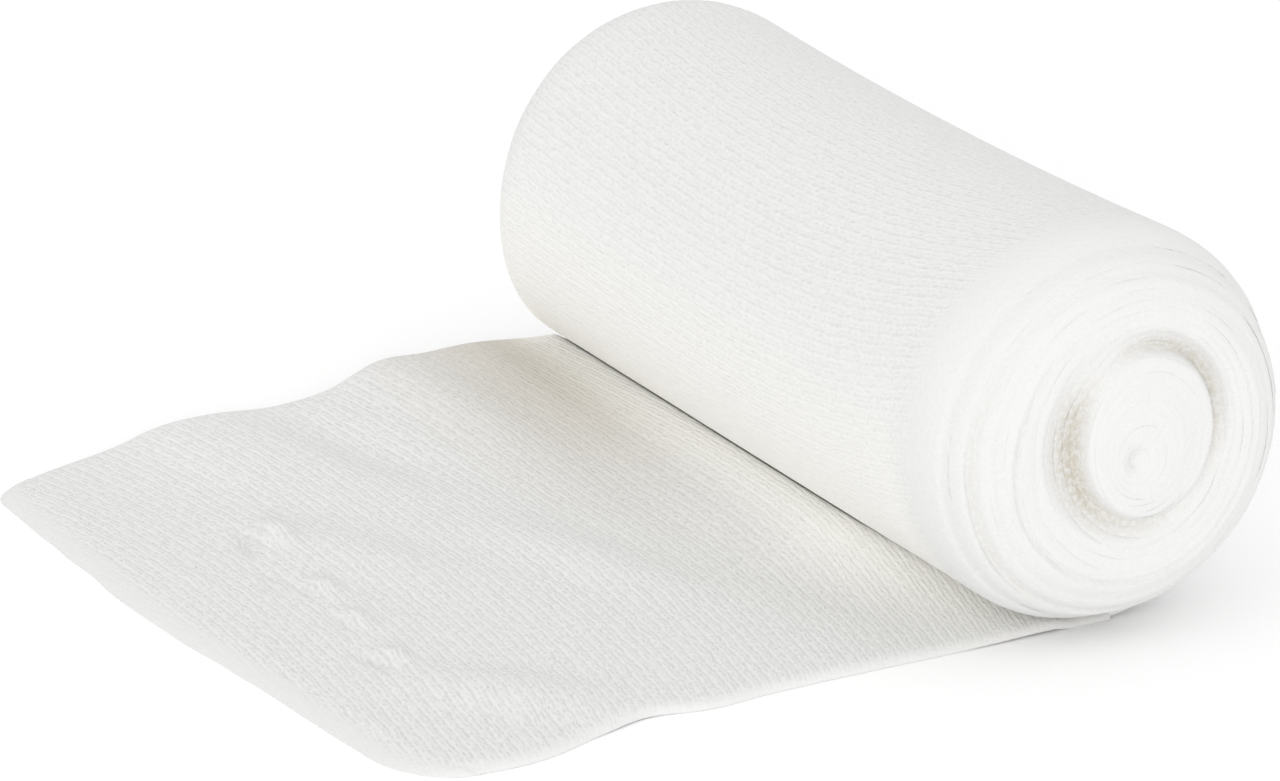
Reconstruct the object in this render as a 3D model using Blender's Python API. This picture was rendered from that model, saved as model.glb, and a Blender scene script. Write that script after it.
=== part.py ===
"""A short-stretch bandage, wound into a roll, with its hemmed end unrolled on the floor.

The strip is one piece of cloth, so it is one closed solid: a loft of side profiles, one for
each station across the cloth's width, with a polar grid over each end of the roll.
The roll's axis runs along Y above x = 0, the hemmed end points to -X, and the domed end of
the roll faces -Y. Sizes are in millimetres and become metres when a point is made.
"""

import math
from collections import namedtuple

import bmesh
import bpy
from mathutils import Vector

MM = 0.001

# The cloth
HALF_WIDTH = 50.0
CLOTH_THICK = 1.2
HEM_THICK = 1.7
HEM_WIDTH = 4.0
HEM_NOSE = 0.7
COLOUR = (0.83, 0.82, 0.79)

# The roll
ROLL_RADIUS = 23.35
TURN_STEP = 1.2
FLAT_HALF = 2.5
WAIST_DEPTH = 1.2
FAR_CURL_DEPTH = 4.2
FAR_CURL_RUN = 6.0
NEAR_CURL_DEPTH = 0.5
NEAR_CURL_RUN = 4.0
SHAPE_FADE = math.radians(72.0)

# Where the cloth leaves the roll and how far it takes to come down
CREASE_FAR_X = -12.5
CREASE_NEAR_X = -4.5
CREASE_RUN = 0.7
PEEL_RUN = 15.0

# The loose end
HEM_X = -90.2
FAR_CORNER_RADIUS = 6.2
NEAR_CORNER_RADIUS = 7.5
FAR_LIFT_REACH = 46.0
RIDGE_DRIFT = 0.22

# The mesh
TAIL_SPANS = 30
UNDER_POINTS = 3
ROLL_SPANS = 46
UNDER_CREASE = 2 * TAIL_SPANS + 2
STATIONS = (
    1.0, 0.985, 0.955, 0.91, 0.85, 0.76, 0.65, 0.53, 0.41, 0.3, 0.19, 0.07, -0.035,
    -0.13, -0.235, -0.35, -0.478, -0.6, -0.71, -0.81, -0.89, -0.95, -0.985, -1.0,
)

Level = namedtuple("Level", "at value")

# Height of the far edge's underside over the floor, by distance from the roll's axis
FAR_LIFT = (
    Level(-90.0, 0.0),
    Level(-80.0, 0.0),
    Level(-72.0, 0.6),
    Level(-66.0, 1.9),
    Level(-60.0, 2.2),
    Level(-50.0, 1.6),
    Level(-43.0, 2.2),
    Level(-36.5, 4.4),
    Level(-30.0, 4.2),
    Level(-22.0, 4.5),
    Level(-12.0, 4.2),
)

# How far each edge of the loose end lies outside the cloth's half width
FAR_SPREAD = (
    Level(-90.0, -4.4),
    Level(-84.0, -3.8),
    Level(-77.0, -1.8),
    Level(-68.0, -0.5),
    Level(-52.0, 0.2),
    Level(-36.0, 1.4),
    Level(-22.0, 2.0),
    Level(-4.0, 2.0),
)
NEAR_SPREAD = (
    Level(-90.0, 4.4),
    Level(-78.0, 4.5),
    Level(-70.0, 4.3),
    Level(-62.0, 1.6),
    Level(-55.0, -0.3),
    Level(-48.0, 0.8),
    Level(-40.0, 0.0),
    Level(-4.0, -0.3),
)

# How far the hem falls short of its furthest place, from the near edge (-1) to the far one (1)
HEM_SHORT = (
    Level(-1.0, 5.0),
    Level(-0.85, 4.2),
    Level(-0.56, 2.7),
    Level(-0.34, 1.6),
    Level(0.0, 0.2),
    Level(0.4, 0.1),
    Level(1.0, 0.8),
)

Fold = namedtuple("Fold", "x y turn_degrees half_length half_width height")

# Low folds of the loose end, raised clear of the floor
FOLDS = (
    Fold(-47.0, 33.0, 20.0, 22.0, 7.0, -0.9),
    Fold(-63.0, 8.0, 24.0, 24.0, 8.0, 0.7),
    Fold(-40.0, -8.0, 18.0, 26.0, 7.5, 0.8),
    Fold(-66.0, -38.0, 40.0, 20.0, 8.0, 1.0),
)

Pucker = namedtuple("Pucker", "x y radius height")

# Small pulled tufts in a row behind the hem
PUCKERS = (
    Pucker(-68.7, 15.2, 3.4, 1.3),
    Pucker(-70.6, -1.7, 3.0, 1.0),
    Pucker(-71.4, -11.7, 2.8, 0.8),
    Pucker(-73.0, -23.9, 3.2, 1.1),
)

Ring = namedtuple("Ring", "share reach")

# Rings of the domed end, outermost first: share of the outline's radius, and reach past its edge
NEAR_RINGS = (
    Ring(0.985, 0.9),
    Ring(0.955, 2.2),
    Ring(0.915, 4.2),
    Ring(0.898, 4.1),
    Ring(0.850, 6.2),
    Ring(0.828, 6.0),
    Ring(0.760, 7.5),
    Ring(0.690, 8.1),
    Ring(0.665, 7.7),
    Ring(0.610, 8.1),
    Ring(0.545, 7.8),
    Ring(0.490, 5.6),
    Ring(0.425, 3.6),
    Ring(0.370, 5.2),
    Ring(0.325, 7.6),
    Ring(0.240, 8.9),
    Ring(0.110, 9.3),
)
NEAR_CENTRE = Ring(0.0, 8.3)

# Rings of the dished end, with the same turns drawn in
FAR_RINGS = (
    Ring(0.93, -0.2),
    Ring(0.86, -1.4),
    Ring(0.72, -3.6),
    Ring(0.56, -4.4),
    Ring(0.44, -5.4),
    Ring(0.34, -4.2),
    Ring(0.18, -3.9),
)
FAR_CENTRE = Ring(0.0, -4.6)

# The middle of the winding sits a little off the roll's axis
CORE_SHIFT_X = 1.8
CORE_SHIFT_Z = 1.6

AXIS_HEIGHT = math.sqrt(ROLL_RADIUS ** 2 - FLAT_HALF ** 2)
FLAT_ANGLE = math.asin(FLAT_HALF / ROLL_RADIUS)


def smooth(share):
    """A soft step from 0 to 1."""
    share = min(max(share, 0.0), 1.0)
    return share * share * (3.0 - 2.0 * share)


def bump(offset):
    """A rounded hill of height 1 that ends at an offset of 1."""
    return math.cos(0.5 * math.pi * offset) ** 2 if abs(offset) < 1.0 else 0.0


def curve_at(levels, at):
    """The value at a place along a smooth curve through the levels."""
    at = min(max(at, levels[0].at), levels[-1].at)
    index = next(i for i in range(len(levels) - 1) if at <= levels[i + 1].at)
    slopes = []
    for i in (index, index + 1):
        before, after = levels[max(i - 1, 0)], levels[min(i + 1, len(levels) - 1)]
        slopes.append((after.value - before.value) / (after.at - before.at))
    low, high = levels[index], levels[index + 1]
    run = high.at - low.at
    t = (at - low.at) / run
    ease = smooth(t)
    bend = t * (1.0 - t) * run
    lean = slopes[0] * (1.0 - t) - slopes[1] * t
    return low.value + (high.value - low.value) * ease + bend * lean


def crease_x(across):
    """Where the cloth leaves the roll, from the near edge (-1) to the far edge (1)."""
    return CREASE_NEAR_X + (CREASE_FAR_X - CREASE_NEAR_X) * smooth((1.0 + across) / CREASE_RUN)


def under_roll_height(x):
    """Height of the roll's underside at a distance from its axis, from 0 over the flat spot."""
    if abs(x) <= FLAT_HALF:
        return 0.0
    return AXIS_HEIGHT - math.sqrt(ROLL_RADIUS ** 2 - x * x)


def strip_y(x, across):
    """Place across the cloth, with both edges of the loose end spread as they lie."""
    levels = FAR_SPREAD if across > 0.0 else NEAR_SPREAD
    spread = curve_at(levels, x) * abs(across) ** 3
    return across * HALF_WIDTH + (spread if across > 0.0 else -spread)


def hem_x(across):
    """The hem's place, a little short on the near side and rounded at both corners."""
    x = HEM_X + curve_at(HEM_SHORT, across)
    radius = FAR_CORNER_RADIUS if across > 0.0 else NEAR_CORNER_RADIUS
    inside = radius - HALF_WIDTH * (1.0 - abs(across))
    if inside > 0.0:
        x += radius - math.sqrt(max(radius ** 2 - inside ** 2, 0.0))
    return x


def fold_height(x, y):
    """Height that the low folds add to the loose end."""
    total = 0.0
    for fold in FOLDS:
        turn = math.radians(fold.turn_degrees)
        along = (y - fold.y) * math.cos(turn) - (x - fold.x) * math.sin(turn)
        aside = (x - fold.x) * math.cos(turn) + (y - fold.y) * math.sin(turn)
        total += fold.height * bump(along / fold.half_length) * bump(aside / fold.half_width)
    return total


def lift(x, across):
    """Height of the cloth's underside over the floor."""
    y = strip_y(x, across)
    inward = HALF_WIDTH * (1.0 - across)
    edge = curve_at(FAR_LIFT, x - RIDGE_DRIFT * inward)
    spread_out = edge * (1.0 - smooth(inward / FAR_LIFT_REACH)) + fold_height(x, y)
    start = crease_x(across)
    away = smooth((start - x) / PEEL_RUN)
    return max(0.0, under_roll_height(start) * (1.0 - away) + spread_out * away)


def pucker_height(x, y):
    """Height that the tufts add to the top of the loose end."""
    return sum(p.height * bump(math.hypot(x - p.x, y - p.y) / p.radius) for p in PUCKERS)


def thickness(x, hem):
    """Cloth thickness, doubled softly over the hem."""
    inside_hem = smooth(2.0 * (1.0 - (x - hem) / HEM_WIDTH))
    return CLOTH_THICK + (HEM_THICK - CLOTH_THICK) * inside_hem


def roll_inset(across):
    """How far the roll's side is drawn in by its waist and by the curl of its two edges."""
    waist = WAIST_DEPTH * (1.0 - across * across)
    into_far = (across * HALF_WIDTH - (HALF_WIDTH - FAR_CURL_RUN)) / FAR_CURL_RUN
    into_near = (-across * HALF_WIDTH - (HALF_WIDTH - NEAR_CURL_RUN)) / NEAR_CURL_RUN
    far_curl = FAR_CURL_DEPTH * (1.0 - math.sqrt(1.0 - max(into_far, 0.0) ** 2))
    return waist + far_curl + NEAR_CURL_DEPTH * max(into_near, 0.0) ** 2


def point(x, y, z):
    return Vector((x, y, z)) * MM


def tail_profile(across):
    """The loose end's top from the crease to the hem, its rounded end and its underside back."""
    start, hem = crease_x(across), hem_x(across)
    top, under = [], []
    for i in range(TAIL_SPANS + 1):
        x = start + (hem - start) * i / TAIL_SPANS
        y = strip_y(x, across)
        floor = lift(x, across)
        top.append(point(x, y, floor + thickness(x, hem) + pucker_height(x, y)))
        under.append(point(x, y, floor))
    nose = point(hem - HEM_NOSE, strip_y(hem, across), lift(hem, across) + 0.5 * HEM_THICK)
    return top + [nose] + under[::-1]


def roll_profile(across):
    """The roll's outline from the underside of the crease round to just before its top side."""
    start = crease_x(across)
    crease_angle = math.asin(-start / ROLL_RADIUS)
    edge_spread = strip_y(start, across) - across * HALF_WIDTH
    points = []
    for i in range(1, UNDER_POINTS + 1):
        x = start + (-FLAT_HALF - start) * i / UNDER_POINTS
        points.append(point(x, across * HALF_WIDTH + edge_spread, under_roll_height(x)))
    full_turn = 2.0 * math.pi
    for i in range(ROLL_SPANS):
        angle = FLAT_ANGLE + (full_turn - crease_angle - FLAT_ANGLE) * i / ROLL_SPANS
        from_floor = min(angle - FLAT_ANGLE, full_turn - crease_angle - angle)
        fade = smooth(from_floor / SHAPE_FADE)
        radius = ROLL_RADIUS - TURN_STEP * angle / full_turn - roll_inset(across) * fade
        x, z = radius * math.sin(angle), AXIS_HEIGHT - radius * math.cos(angle)
        points.append(point(x, across * HALF_WIDTH + edge_spread * (1.0 - fade), z))
    return points


def add_strip(bm, first, second):
    """Quads between two closed profiles with the same number of points."""
    count = len(first)
    for i in range(count):
        j = (i + 1) % count
        bm.faces.new((first[i], first[j], second[j], second[i]))


def add_face(bm, corners, flip):
    """A face whose corners run the other way round at the far end."""
    bm.faces.new(corners[::-1] if flip else corners)


def cap_tail(bm, profile, flip):
    """Closes the loose end's edge, between its top and its underside."""
    for i in range(TAIL_SPANS):
        below = UNDER_CREASE - i
        add_face(bm, (profile[i], profile[below], profile[below - 1], profile[i + 1]), flip)
    nose = TAIL_SPANS + 1
    add_face(bm, (profile[nose - 1], profile[nose + 1], profile[nose]), flip)


def ring_place(outer, ring, side):
    """A point of a ring, seen from the middle in the same direction as a point of the outline."""
    x, z = outer.x, outer.z - AXIS_HEIGHT
    own_radius = math.hypot(x, z)
    round_radius = ROLL_RADIUS - TURN_STEP + (own_radius - ROLL_RADIUS + TURN_STEP) * ring.share ** 4
    reduced = ring.share * round_radius / own_radius
    shift = 1.0 - ring.share
    y = side * (HALF_WIDTH + ring.reach)
    return point(x * reduced + CORE_SHIFT_X * shift, y, AXIS_HEIGHT + z * reduced + CORE_SHIFT_Z * shift)


def cap_roll(bm, profile, rings, centre, side):
    """Closes one end of the roll with rings that run in to the middle of the winding."""
    flip = side > 0.0
    outline = profile[UNDER_CREASE:]
    outer = outline
    for ring in rings:
        inner = []
        for vertex in outline:
            inner.append(bm.verts.new(ring_place(vertex.co / MM, ring, side)))
        for i in range(len(outline) - 1):
            add_face(bm, (outer[i], outer[i + 1], inner[i + 1], inner[i]), flip)
        if outer is outline:
            add_face(bm, (outer[-1], profile[0], inner[-1]), flip)
            add_face(bm, (profile[0], outer[0], inner[0], inner[-1]), flip)
        else:
            add_face(bm, (outer[-1], outer[0], inner[0], inner[-1]), flip)
        outer = inner
    middle = bm.verts.new(
        point(CORE_SHIFT_X, side * (HALF_WIDTH + centre.reach), AXIS_HEIGHT + CORE_SHIFT_Z)
    )
    for i in range(len(outer)):
        add_face(bm, (outer[i], outer[(i + 1) % len(outer)], middle), flip)


def build_strip():
    """The whole strip, from the hem to the middle of the roll, as one closed mesh."""
    bm = bmesh.new()
    profiles = []
    for across in STATIONS:
        places = tail_profile(across) + roll_profile(across)
        profiles.append([bm.verts.new(place) for place in places])
    for first, second in zip(profiles, profiles[1:]):
        add_strip(bm, first, second)
    cap_tail(bm, profiles[0], True)
    cap_tail(bm, profiles[-1], False)
    cap_roll(bm, profiles[0], FAR_RINGS, FAR_CENTRE, 1.0)
    cap_roll(bm, profiles[-1], NEAR_RINGS, NEAR_CENTRE, -1.0)
    bmesh.ops.recalc_face_normals(bm, faces=bm.faces)
    mesh = bpy.data.meshes.new("bandage")
    bm.to_mesh(mesh)
    bm.free()
    mesh.shade_smooth()
    return mesh


def cotton_crepe():
    """Undyed cotton crepe: white and matt."""
    material = bpy.data.materials.new("white_cotton_crepe")
    material.use_nodes = True
    shader = material.node_tree.nodes["Principled BSDF"]
    shader.inputs["Base Color"].default_value = (*COLOUR, 1.0)
    shader.inputs["Roughness"].default_value = 0.92
    shader.inputs["Metallic"].default_value = 0.0
    return material


def main():
    for old in list(bpy.data.objects):
        bpy.data.objects.remove(old, do_unlink=True)
    collection = bpy.data.collections.new("short_stretch_bandage_roll")
    bpy.context.scene.collection.children.link(collection)
    bandage = bpy.data.objects.new("bandage", build_strip())
    bandage.data.materials.append(cotton_crepe())
    collection.objects.link(bandage)


main()
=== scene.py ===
"""Looks of a short-stretch bandage roll: its wound cotton crepe, the stage, the light and the camera.

The cloth is one strip, 100 mm wide, from its hem on the floor to the middle of the winding.
It is built as one closed sheet with two faces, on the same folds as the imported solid.
Sizes in the tables are in millimetres. Metres are made where a vertex is written.
"""

import math
from collections import namedtuple

import bmesh
import bpy
from bpy.props import FloatProperty, FloatVectorProperty, IntProperty, PointerProperty
from mathutils import Matrix, Vector, noise


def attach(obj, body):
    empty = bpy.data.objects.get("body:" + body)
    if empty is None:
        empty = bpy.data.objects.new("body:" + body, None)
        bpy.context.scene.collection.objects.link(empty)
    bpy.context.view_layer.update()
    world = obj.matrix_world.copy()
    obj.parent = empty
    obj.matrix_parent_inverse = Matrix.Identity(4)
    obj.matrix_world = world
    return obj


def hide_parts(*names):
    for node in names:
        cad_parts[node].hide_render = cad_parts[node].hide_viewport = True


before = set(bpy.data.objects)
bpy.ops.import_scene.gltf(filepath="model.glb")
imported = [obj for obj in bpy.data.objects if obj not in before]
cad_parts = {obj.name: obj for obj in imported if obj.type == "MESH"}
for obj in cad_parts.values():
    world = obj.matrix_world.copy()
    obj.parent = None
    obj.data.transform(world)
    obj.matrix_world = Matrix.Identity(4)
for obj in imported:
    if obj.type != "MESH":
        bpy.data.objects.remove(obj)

bl_info = {
    "name": "Bandage Roll Looks",
    "version": (1, 0, 0),
    "blender": (4, 5, 0),
    "location": "View3D > Sidebar > Bandage",
    "description": "Winds the crepe cloth of a bandage roll and sets its stage",
    "category": "Object",
}

CLOTH_NODE = "bandage"
MM = 0.001

# The strip as the solid has it
HALF_WIDTH = 50.0
ROLL_RADIUS = 23.35
TURN_STEP = 1.2
FLAT_HALF = 2.5
WAIST_DEPTH = 1.2
FAR_CURL_DEPTH = 4.2
FAR_CURL_RUN = 6.0
NEAR_CURL_DEPTH = 0.5
NEAR_CURL_RUN = 4.0
SHAPE_FADE = math.radians(72.0)
SHAPE_FADE_TURNS = 5.0
CREASE_FAR_X = -12.5
CREASE_NEAR_X = -4.5
CREASE_RUN = 0.7
PEEL_RUN = 15.0
HEM_X = -90.2
FAR_CORNER_RADIUS = 6.2
NEAR_CORNER_RADIUS = 7.5
FAR_LIFT_REACH = 46.0
RIDGE_DRIFT = 0.22

AXIS_HEIGHT = math.sqrt(ROLL_RADIUS ** 2 - FLAT_HALF ** 2)
FLAT_ANGLE = math.asin(FLAT_HALF / ROLL_RADIUS)
FULL_TURN = 2.0 * math.pi

Level = namedtuple("Level", "at value")
Fold = namedtuple("Fold", "x y turn_degrees half_length half_width height")
Ring = namedtuple("Ring", "radius half_width depth")
Column = namedtuple("Column", "across crown")

# Height of the far edge's underside over the floor, by distance from the roll's axis
FAR_LIFT = (
    Level(-90.0, 0.0),
    Level(-80.0, 0.0),
    Level(-72.0, 0.6),
    Level(-66.0, 1.9),
    Level(-60.0, 2.2),
    Level(-50.0, 1.6),
    Level(-43.0, 2.2),
    Level(-36.5, 4.4),
    Level(-30.0, 4.2),
    Level(-22.0, 4.5),
    Level(-12.0, 4.2),
)

# How far each edge of the loose end lies outside the cloth's half width
FAR_SPREAD = (
    Level(-90.0, -4.4),
    Level(-84.0, -3.8),
    Level(-77.0, -1.8),
    Level(-68.0, -0.5),
    Level(-52.0, 0.2),
    Level(-36.0, 1.4),
    Level(-22.0, 2.0),
    Level(-4.0, 2.0),
)
NEAR_SPREAD = (
    Level(-90.0, 4.4),
    Level(-78.0, 4.5),
    Level(-70.0, 4.3),
    Level(-62.0, 1.6),
    Level(-55.0, -0.3),
    Level(-48.0, 0.8),
    Level(-40.0, 0.0),
    Level(-4.0, -0.3),
)

# How far the hem falls short of its furthest place, from the near edge (-1) to the far one (1)
HEM_SHORT = (
    Level(-1.0, 5.0),
    Level(-0.85, 4.2),
    Level(-0.56, 2.7),
    Level(-0.34, 1.6),
    Level(0.0, 0.2),
    Level(0.4, 0.1),
    Level(1.0, 0.8),
)

# Low folds of the loose end, raised clear of the floor
FOLDS = (
    Fold(-47.0, 33.0, 20.0, 22.0, 7.0, -0.9),
    Fold(-63.0, 8.0, 24.0, 24.0, 8.0, 0.7),
    Fold(-40.0, -8.0, 18.0, 26.0, 7.5, 0.8),
    Fold(-66.0, -38.0, 40.0, 20.0, 8.0, 1.0),
)

# Small pulled tufts behind the hem, each a low back with a narrow dip on its hem side
TUFTS = (
    Fold(-67.7, 15.0, -14.0, 4.6, 3.0, 1.4),
    Fold(-71.1, 14.6, -20.0, 6.5, 1.5, -0.8),
    Fold(-73.0, 4.0, 20.0, 8.0, 2.0, -0.25),
    Fold(-69.8, -1.7, 4.0, 3.6, 2.4, 1.0),
    Fold(-71.9, -1.9, 4.0, 3.8, 1.2, -0.45),
    Fold(-70.6, -11.7, 10.0, 3.4, 2.2, 0.9),
    Fold(-72.5, -11.9, 10.0, 3.6, 1.2, -0.42),
    Fold(-72.2, -23.9, 12.0, 4.2, 2.5, 1.2),
    Fold(-74.7, -23.6, 12.0, 5.0, 1.3, -0.65),
    Fold(-80.5, 7.0, 10.0, 5.0, 2.2, 0.22),
)

# The winding, by turns counted from under the roll: it grows narrow and leans off its axis
TURN_PITCH = 1.19
TURN_GAP = 0.04
WINDING_END = 19.5
EYE_RADIUS = 0.04
CORE_SQUEEZE = 0.15
CORE_SHIFT_X = 1.2
CORE_SHIFT_Z = 1.0
SQUEEZE_START = 2.0
SQUEEZE_RUN = 9.0
EYE_DRIFT_START = 10.0
EYE_DRIFT_RUN = 9.0

# The domed end: how far it stands out past the strip's edge, by distance from the roll's axis
DOME = (
    Level(0.0, 9.0),
    Level(4.0, 9.2),
    Level(8.0, 8.7),
    Level(12.0, 8.1),
    Level(15.3, 8.1),
    Level(16.8, 7.5),
    Level(18.8, 6.2),
    Level(20.3, 4.2),
    Level(21.2, 2.2),
    Level(21.9, 0.7),
    Level(22.4, 0.0),
)

# The groove round the core, between the core's oval and a round rim
GROOVE_CORE_X = 1.5
GROOVE_CORE_Z = 1.3
GROOVE_CORE_HALF_WIDTH = 8.9
GROOVE_CORE_HALF_HEIGHT = 9.9
GROOVE_RIM_Z = 1.5
GROOVE_RIM_RADIUS = 12.1
GROOVE_WALL_FROM = 0.88
GROOVE_WALL_RUN = 0.14
GROOVE_OUTER_SLOPE = 0.6
GROOVE_RIM_SOFTNESS = 0.02

# Depth of the groove, by degrees from its lowest place towards the back of the roll
GROOVE_DEPTH = (
    Level(0.0, 1.3),
    Level(40.0, 0.6),
    Level(90.0, 1.9),
    Level(135.0, 2.2),
    Level(180.0, 1.5),
    Level(215.0, 0.5),
    Level(255.0, 2.3),
    Level(300.0, 2.5),
    Level(330.0, 1.9),
    Level(360.0, 1.3),
)

# Rings of the domed end where a turn lies deeper, mostly on its front and below
RINGS = (
    Ring(20.9, 0.5, 0.5),
    Ring(19.2, 0.7, 0.9),
    Ring(17.3, 0.5, 0.3),
    Ring(15.2, 0.5, 0.45),
)
RING_MIDDLE = math.radians(300.0)
RING_REACH = math.radians(115.0)
RING_LEAST = 0.25

# The eye in the middle of the core
EYE_X = -0.4
EYE_Z = -1.0
EYE_DIP_RADIUS = 2.0
EYE_DIP = 0.9

# How far each turn's edge lies inside the dished end
FAR_REACH = (
    Level(0.0, 0.0),
    Level(0.9, -0.1),
    Level(2.3, -0.3),
    Level(3.6, -1.4),
    Level(6.2, -3.6),
    Level(9.2, -4.4),
    Level(11.4, -5.4),
    Level(13.3, -4.2),
    Level(19.5, -4.3),
)

# Ribs of the crepe: their bow and lean across the strip, and how uneven they are
ROW_BOW = 5.5
ROW_LEAN = 2.2
LEAN_START = 55.0
LEAN_RUN = 60.0
BOW_FADE = 34.0
RIB_START_RUN = 2.0
RIB_MEAN = 0.75
RIB_UNEVEN = 0.6
RIB_UNEVEN_LENGTH = 4.0
RIB_FACE_STEP = 3.0
RIB_EDGE_RUN = 1.2
RIB_EDGE_SHARE = 0.3

# How clearly the ribs show on the roll's end, on the roll and on the hem's band
END_RIB_SHARE = 0.0
ROLL_RIB_SHARE = 0.75
ROLL_RIB_REACH = 44.0
ROLL_RIB_FADE = 5.5
HEM_RIB_SHARE = 0.3
HEM_BAND = 1.9
HEM_BAND_FADE = 1.2

# Waves of the hem's line
HEM_WAVE = 0.35
HEM_WAVE_LENGTH = 8.0
HEM_WAVE_SEED = (0.3, 0.7)

# The weave's patterns per millimetre: how the ribs wander, their dashes, and the fluff of the yarn
YARN_SHARE = 1.2
YARN_LAG = 0.9
WANDER_PER_MM = 0.35
WANDER_TURN = 3.0
RIB_DASHES_PER_MM = (1.0, 0.85, 1.0)
YARN_DASHES_PER_MM = (1.8, 1.3, 1.0)
YARN_DASH_SHIFT = (7.3, 3.1, 0.0)
FLUFF_PER_MM = 1.7

# Painted light: the cloth is painted bright and warm in the fold before the roll, on the floor (by
# distance) and on the roll (by angle)
CREVICE_RUN = 9.5
CREVICE_NEAR_RUN = 17.5
CREVICE_START = 0.75
CREVICE_ANGLE = 1.5
CREVICE_LAID_RIM = 2.5
CREVICE_WOUND_RIM = 9.0

# Shade of the roll on the loose end: it is deepest on the far side
TROUGH_RUN = 34.0
TROUGH_LEAST = 0.15
TROUGH_FROM = 0.2

# Shade of the domed end: in the groove, in the rings and on the flank where they lie
FULL_GROOVE_DEPTH = 2.4
GROOVE_SHADE_POWER = 1.3
RING_SHADE = 0.16
FLANK_SHADE = 0.07
FLANK_RADIUS = 18.0
FLANK_HALF_WIDTH = 6.0

# Distances of the mesh's columns from each edge, and of its rows from the hem
EDGE_STEPS = (0.0, 0.22, 0.6, 1.2, 2.1)
HIDDEN_NEAR_STEPS = (0.0, 0.3, 1.2, 4.0, 14.0)
HIDDEN_FAR_STEPS = (0.0, 0.4, 1.5, 6.0)
HEM_STEPS = (0.0, 0.12, 0.4, 0.9, 1.6, 2.4, 3.0, 3.4)
MIDDLE_SPANS = 56
TURN_SPANS = 64
CORE_SPANS = 40
CORE_RADIUS = 9.0
LEAST_ROW_GAP = 0.12

# Rounding of the selvedges and the hem: the underside lies nearly flat, and the top rolls down to it
EDGE_ROUND = 1.7
TOP_TRIM = 0.84
UNDER_TRIM = 0.03
HEM_ROUND = 2.6
HEM_TRIM = 0.92
HEM_STEP = 2.0
OUTSIDE_EDGE_ROUND = 1.7
OUTSIDE_TRIM = 0.4
OUTSIDE_TRIM_END = 0.04

# Unevenness of the cloth's edges: how far they wave, over what length and how far in it reaches
EDGE_WAVE = 0.2
EDGE_WAVE_LENGTH = 5.0
EDGE_WAVE_REACH = 4.0
LAID_WAVE_SHARE = 0.6
LAID_WAVE_SIDES = 7.0
LAID_WAVE_SEED = 0.5
TURN_WAVE_STEP = 0.37

# Rim of the cloth: shares of its thickness, and the soft seam where two turns meet
RIM_SHARES = (0.47, 0.24)
SEAM_SHARE = 0.24
NEAR_SEAM = 0.1
FAR_SEAM = 0.3
SEAM_PRESS = 0.1
SEAM_MEAN = 0.7
SEAM_UNEVEN = 0.9
LEAST_THICK = 0.12
RIM_START = 0.4

# The seams close softly in the core of the domed end
CORE_SEAM_FADE = 0.6
CORE_SEAM_START = 9.0
CORE_SEAM_RUN = 3.0

# The roll path's places along the strip, from the hem
ROLL_START = FLAT_HALF - HEM_X
FIRST_RADIUS = 22.75
BOTH_FACES_FROM = 84.0
BOTH_FACES_TO = 101.0
HIDDEN_LAP = 0.2
HIDDEN_FROM = ROLL_START + (FULL_TURN + HIDDEN_LAP - FLAT_ANGLE) * FIRST_RADIUS

# Where the rim of the domed end begins, along and across the strip
END_FROM = ROLL_START + 1.0
END_ACROSS = -0.99

# Camera, fitted to the outline of the roll and of the loose end: places in metres, lens in millimetres
CAMERA_TARGET = Vector((0.0, 0.0, 0.023))
CAMERA_AZIMUTH = math.radians(-28.8)
CAMERA_ELEVATION = math.radians(20.1)
CAMERA_DISTANCE = 0.7982
CAMERA_SIDE = -0.0253
CAMERA_DROP = -0.0110
CAMERA_FOCAL = 196.9
CAMERA_SENSOR = 36.0


def linear(hex_colour):
    """An sRGB hex colour as linear red, green and blue."""
    channels = [int(hex_colour[i:i + 2], 16) / 255.0 for i in (0, 2, 4)]
    return [c / 12.92 if c <= 0.04045 else ((c + 0.055) / 1.055) ** 2.4 for c in channels]


def smooth(share):
    """A soft step from 0 to 1."""
    share = min(max(share, 0.0), 1.0)
    return share * share * (3.0 - 2.0 * share)


def bump(offset):
    """A rounded hill of height 1 that ends at an offset of 1."""
    return math.cos(0.5 * math.pi * offset) ** 2 if abs(offset) < 1.0 else 0.0


def curve_at(levels, at):
    """The value at a place along a smooth curve through the levels."""
    at = min(max(at, levels[0].at), levels[-1].at)
    index = next(i for i in range(len(levels) - 1) if at <= levels[i + 1].at)
    slopes = []
    for i in (index, index + 1):
        before, after = levels[max(i - 1, 0)], levels[min(i + 1, len(levels) - 1)]
        slopes.append((after.value - before.value) / (after.at - before.at))
    low, high = levels[index], levels[index + 1]
    run = high.at - low.at
    t = (at - low.at) / run
    ease = smooth(t)
    bend = t * (1.0 - t) * run
    lean = slopes[0] * (1.0 - t) - slopes[1] * t
    return low.value + (high.value - low.value) * ease + bend * lean


def edge_trim(distance, run, depth):
    """How far a face is drawn in near an edge, as a quarter round."""
    if distance >= run:
        return 0.0
    share = 1.0 - max(distance, 0.0) / run
    return depth * (1.0 - math.sqrt(1.0 - share * share))


def crease_x(across):
    """Where the cloth leaves the roll, from the near edge (-1) to the far edge (1)."""
    return CREASE_NEAR_X + (CREASE_FAR_X - CREASE_NEAR_X) * smooth((1.0 + across) / CREASE_RUN)


def under_roll_height(x):
    """Height of the roll's underside at a distance from its axis, from 0 over the flat spot."""
    if abs(x) <= FLAT_HALF:
        return 0.0
    return AXIS_HEIGHT - math.sqrt(ROLL_RADIUS ** 2 - x * x)


def strip_y(x, across):
    """Place across the cloth, with both edges of the loose end spread as they lie."""
    levels = FAR_SPREAD if across > 0.0 else NEAR_SPREAD
    spread = curve_at(levels, x) * abs(across) ** 3
    return across * HALF_WIDTH + (spread if across > 0.0 else -spread)


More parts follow.
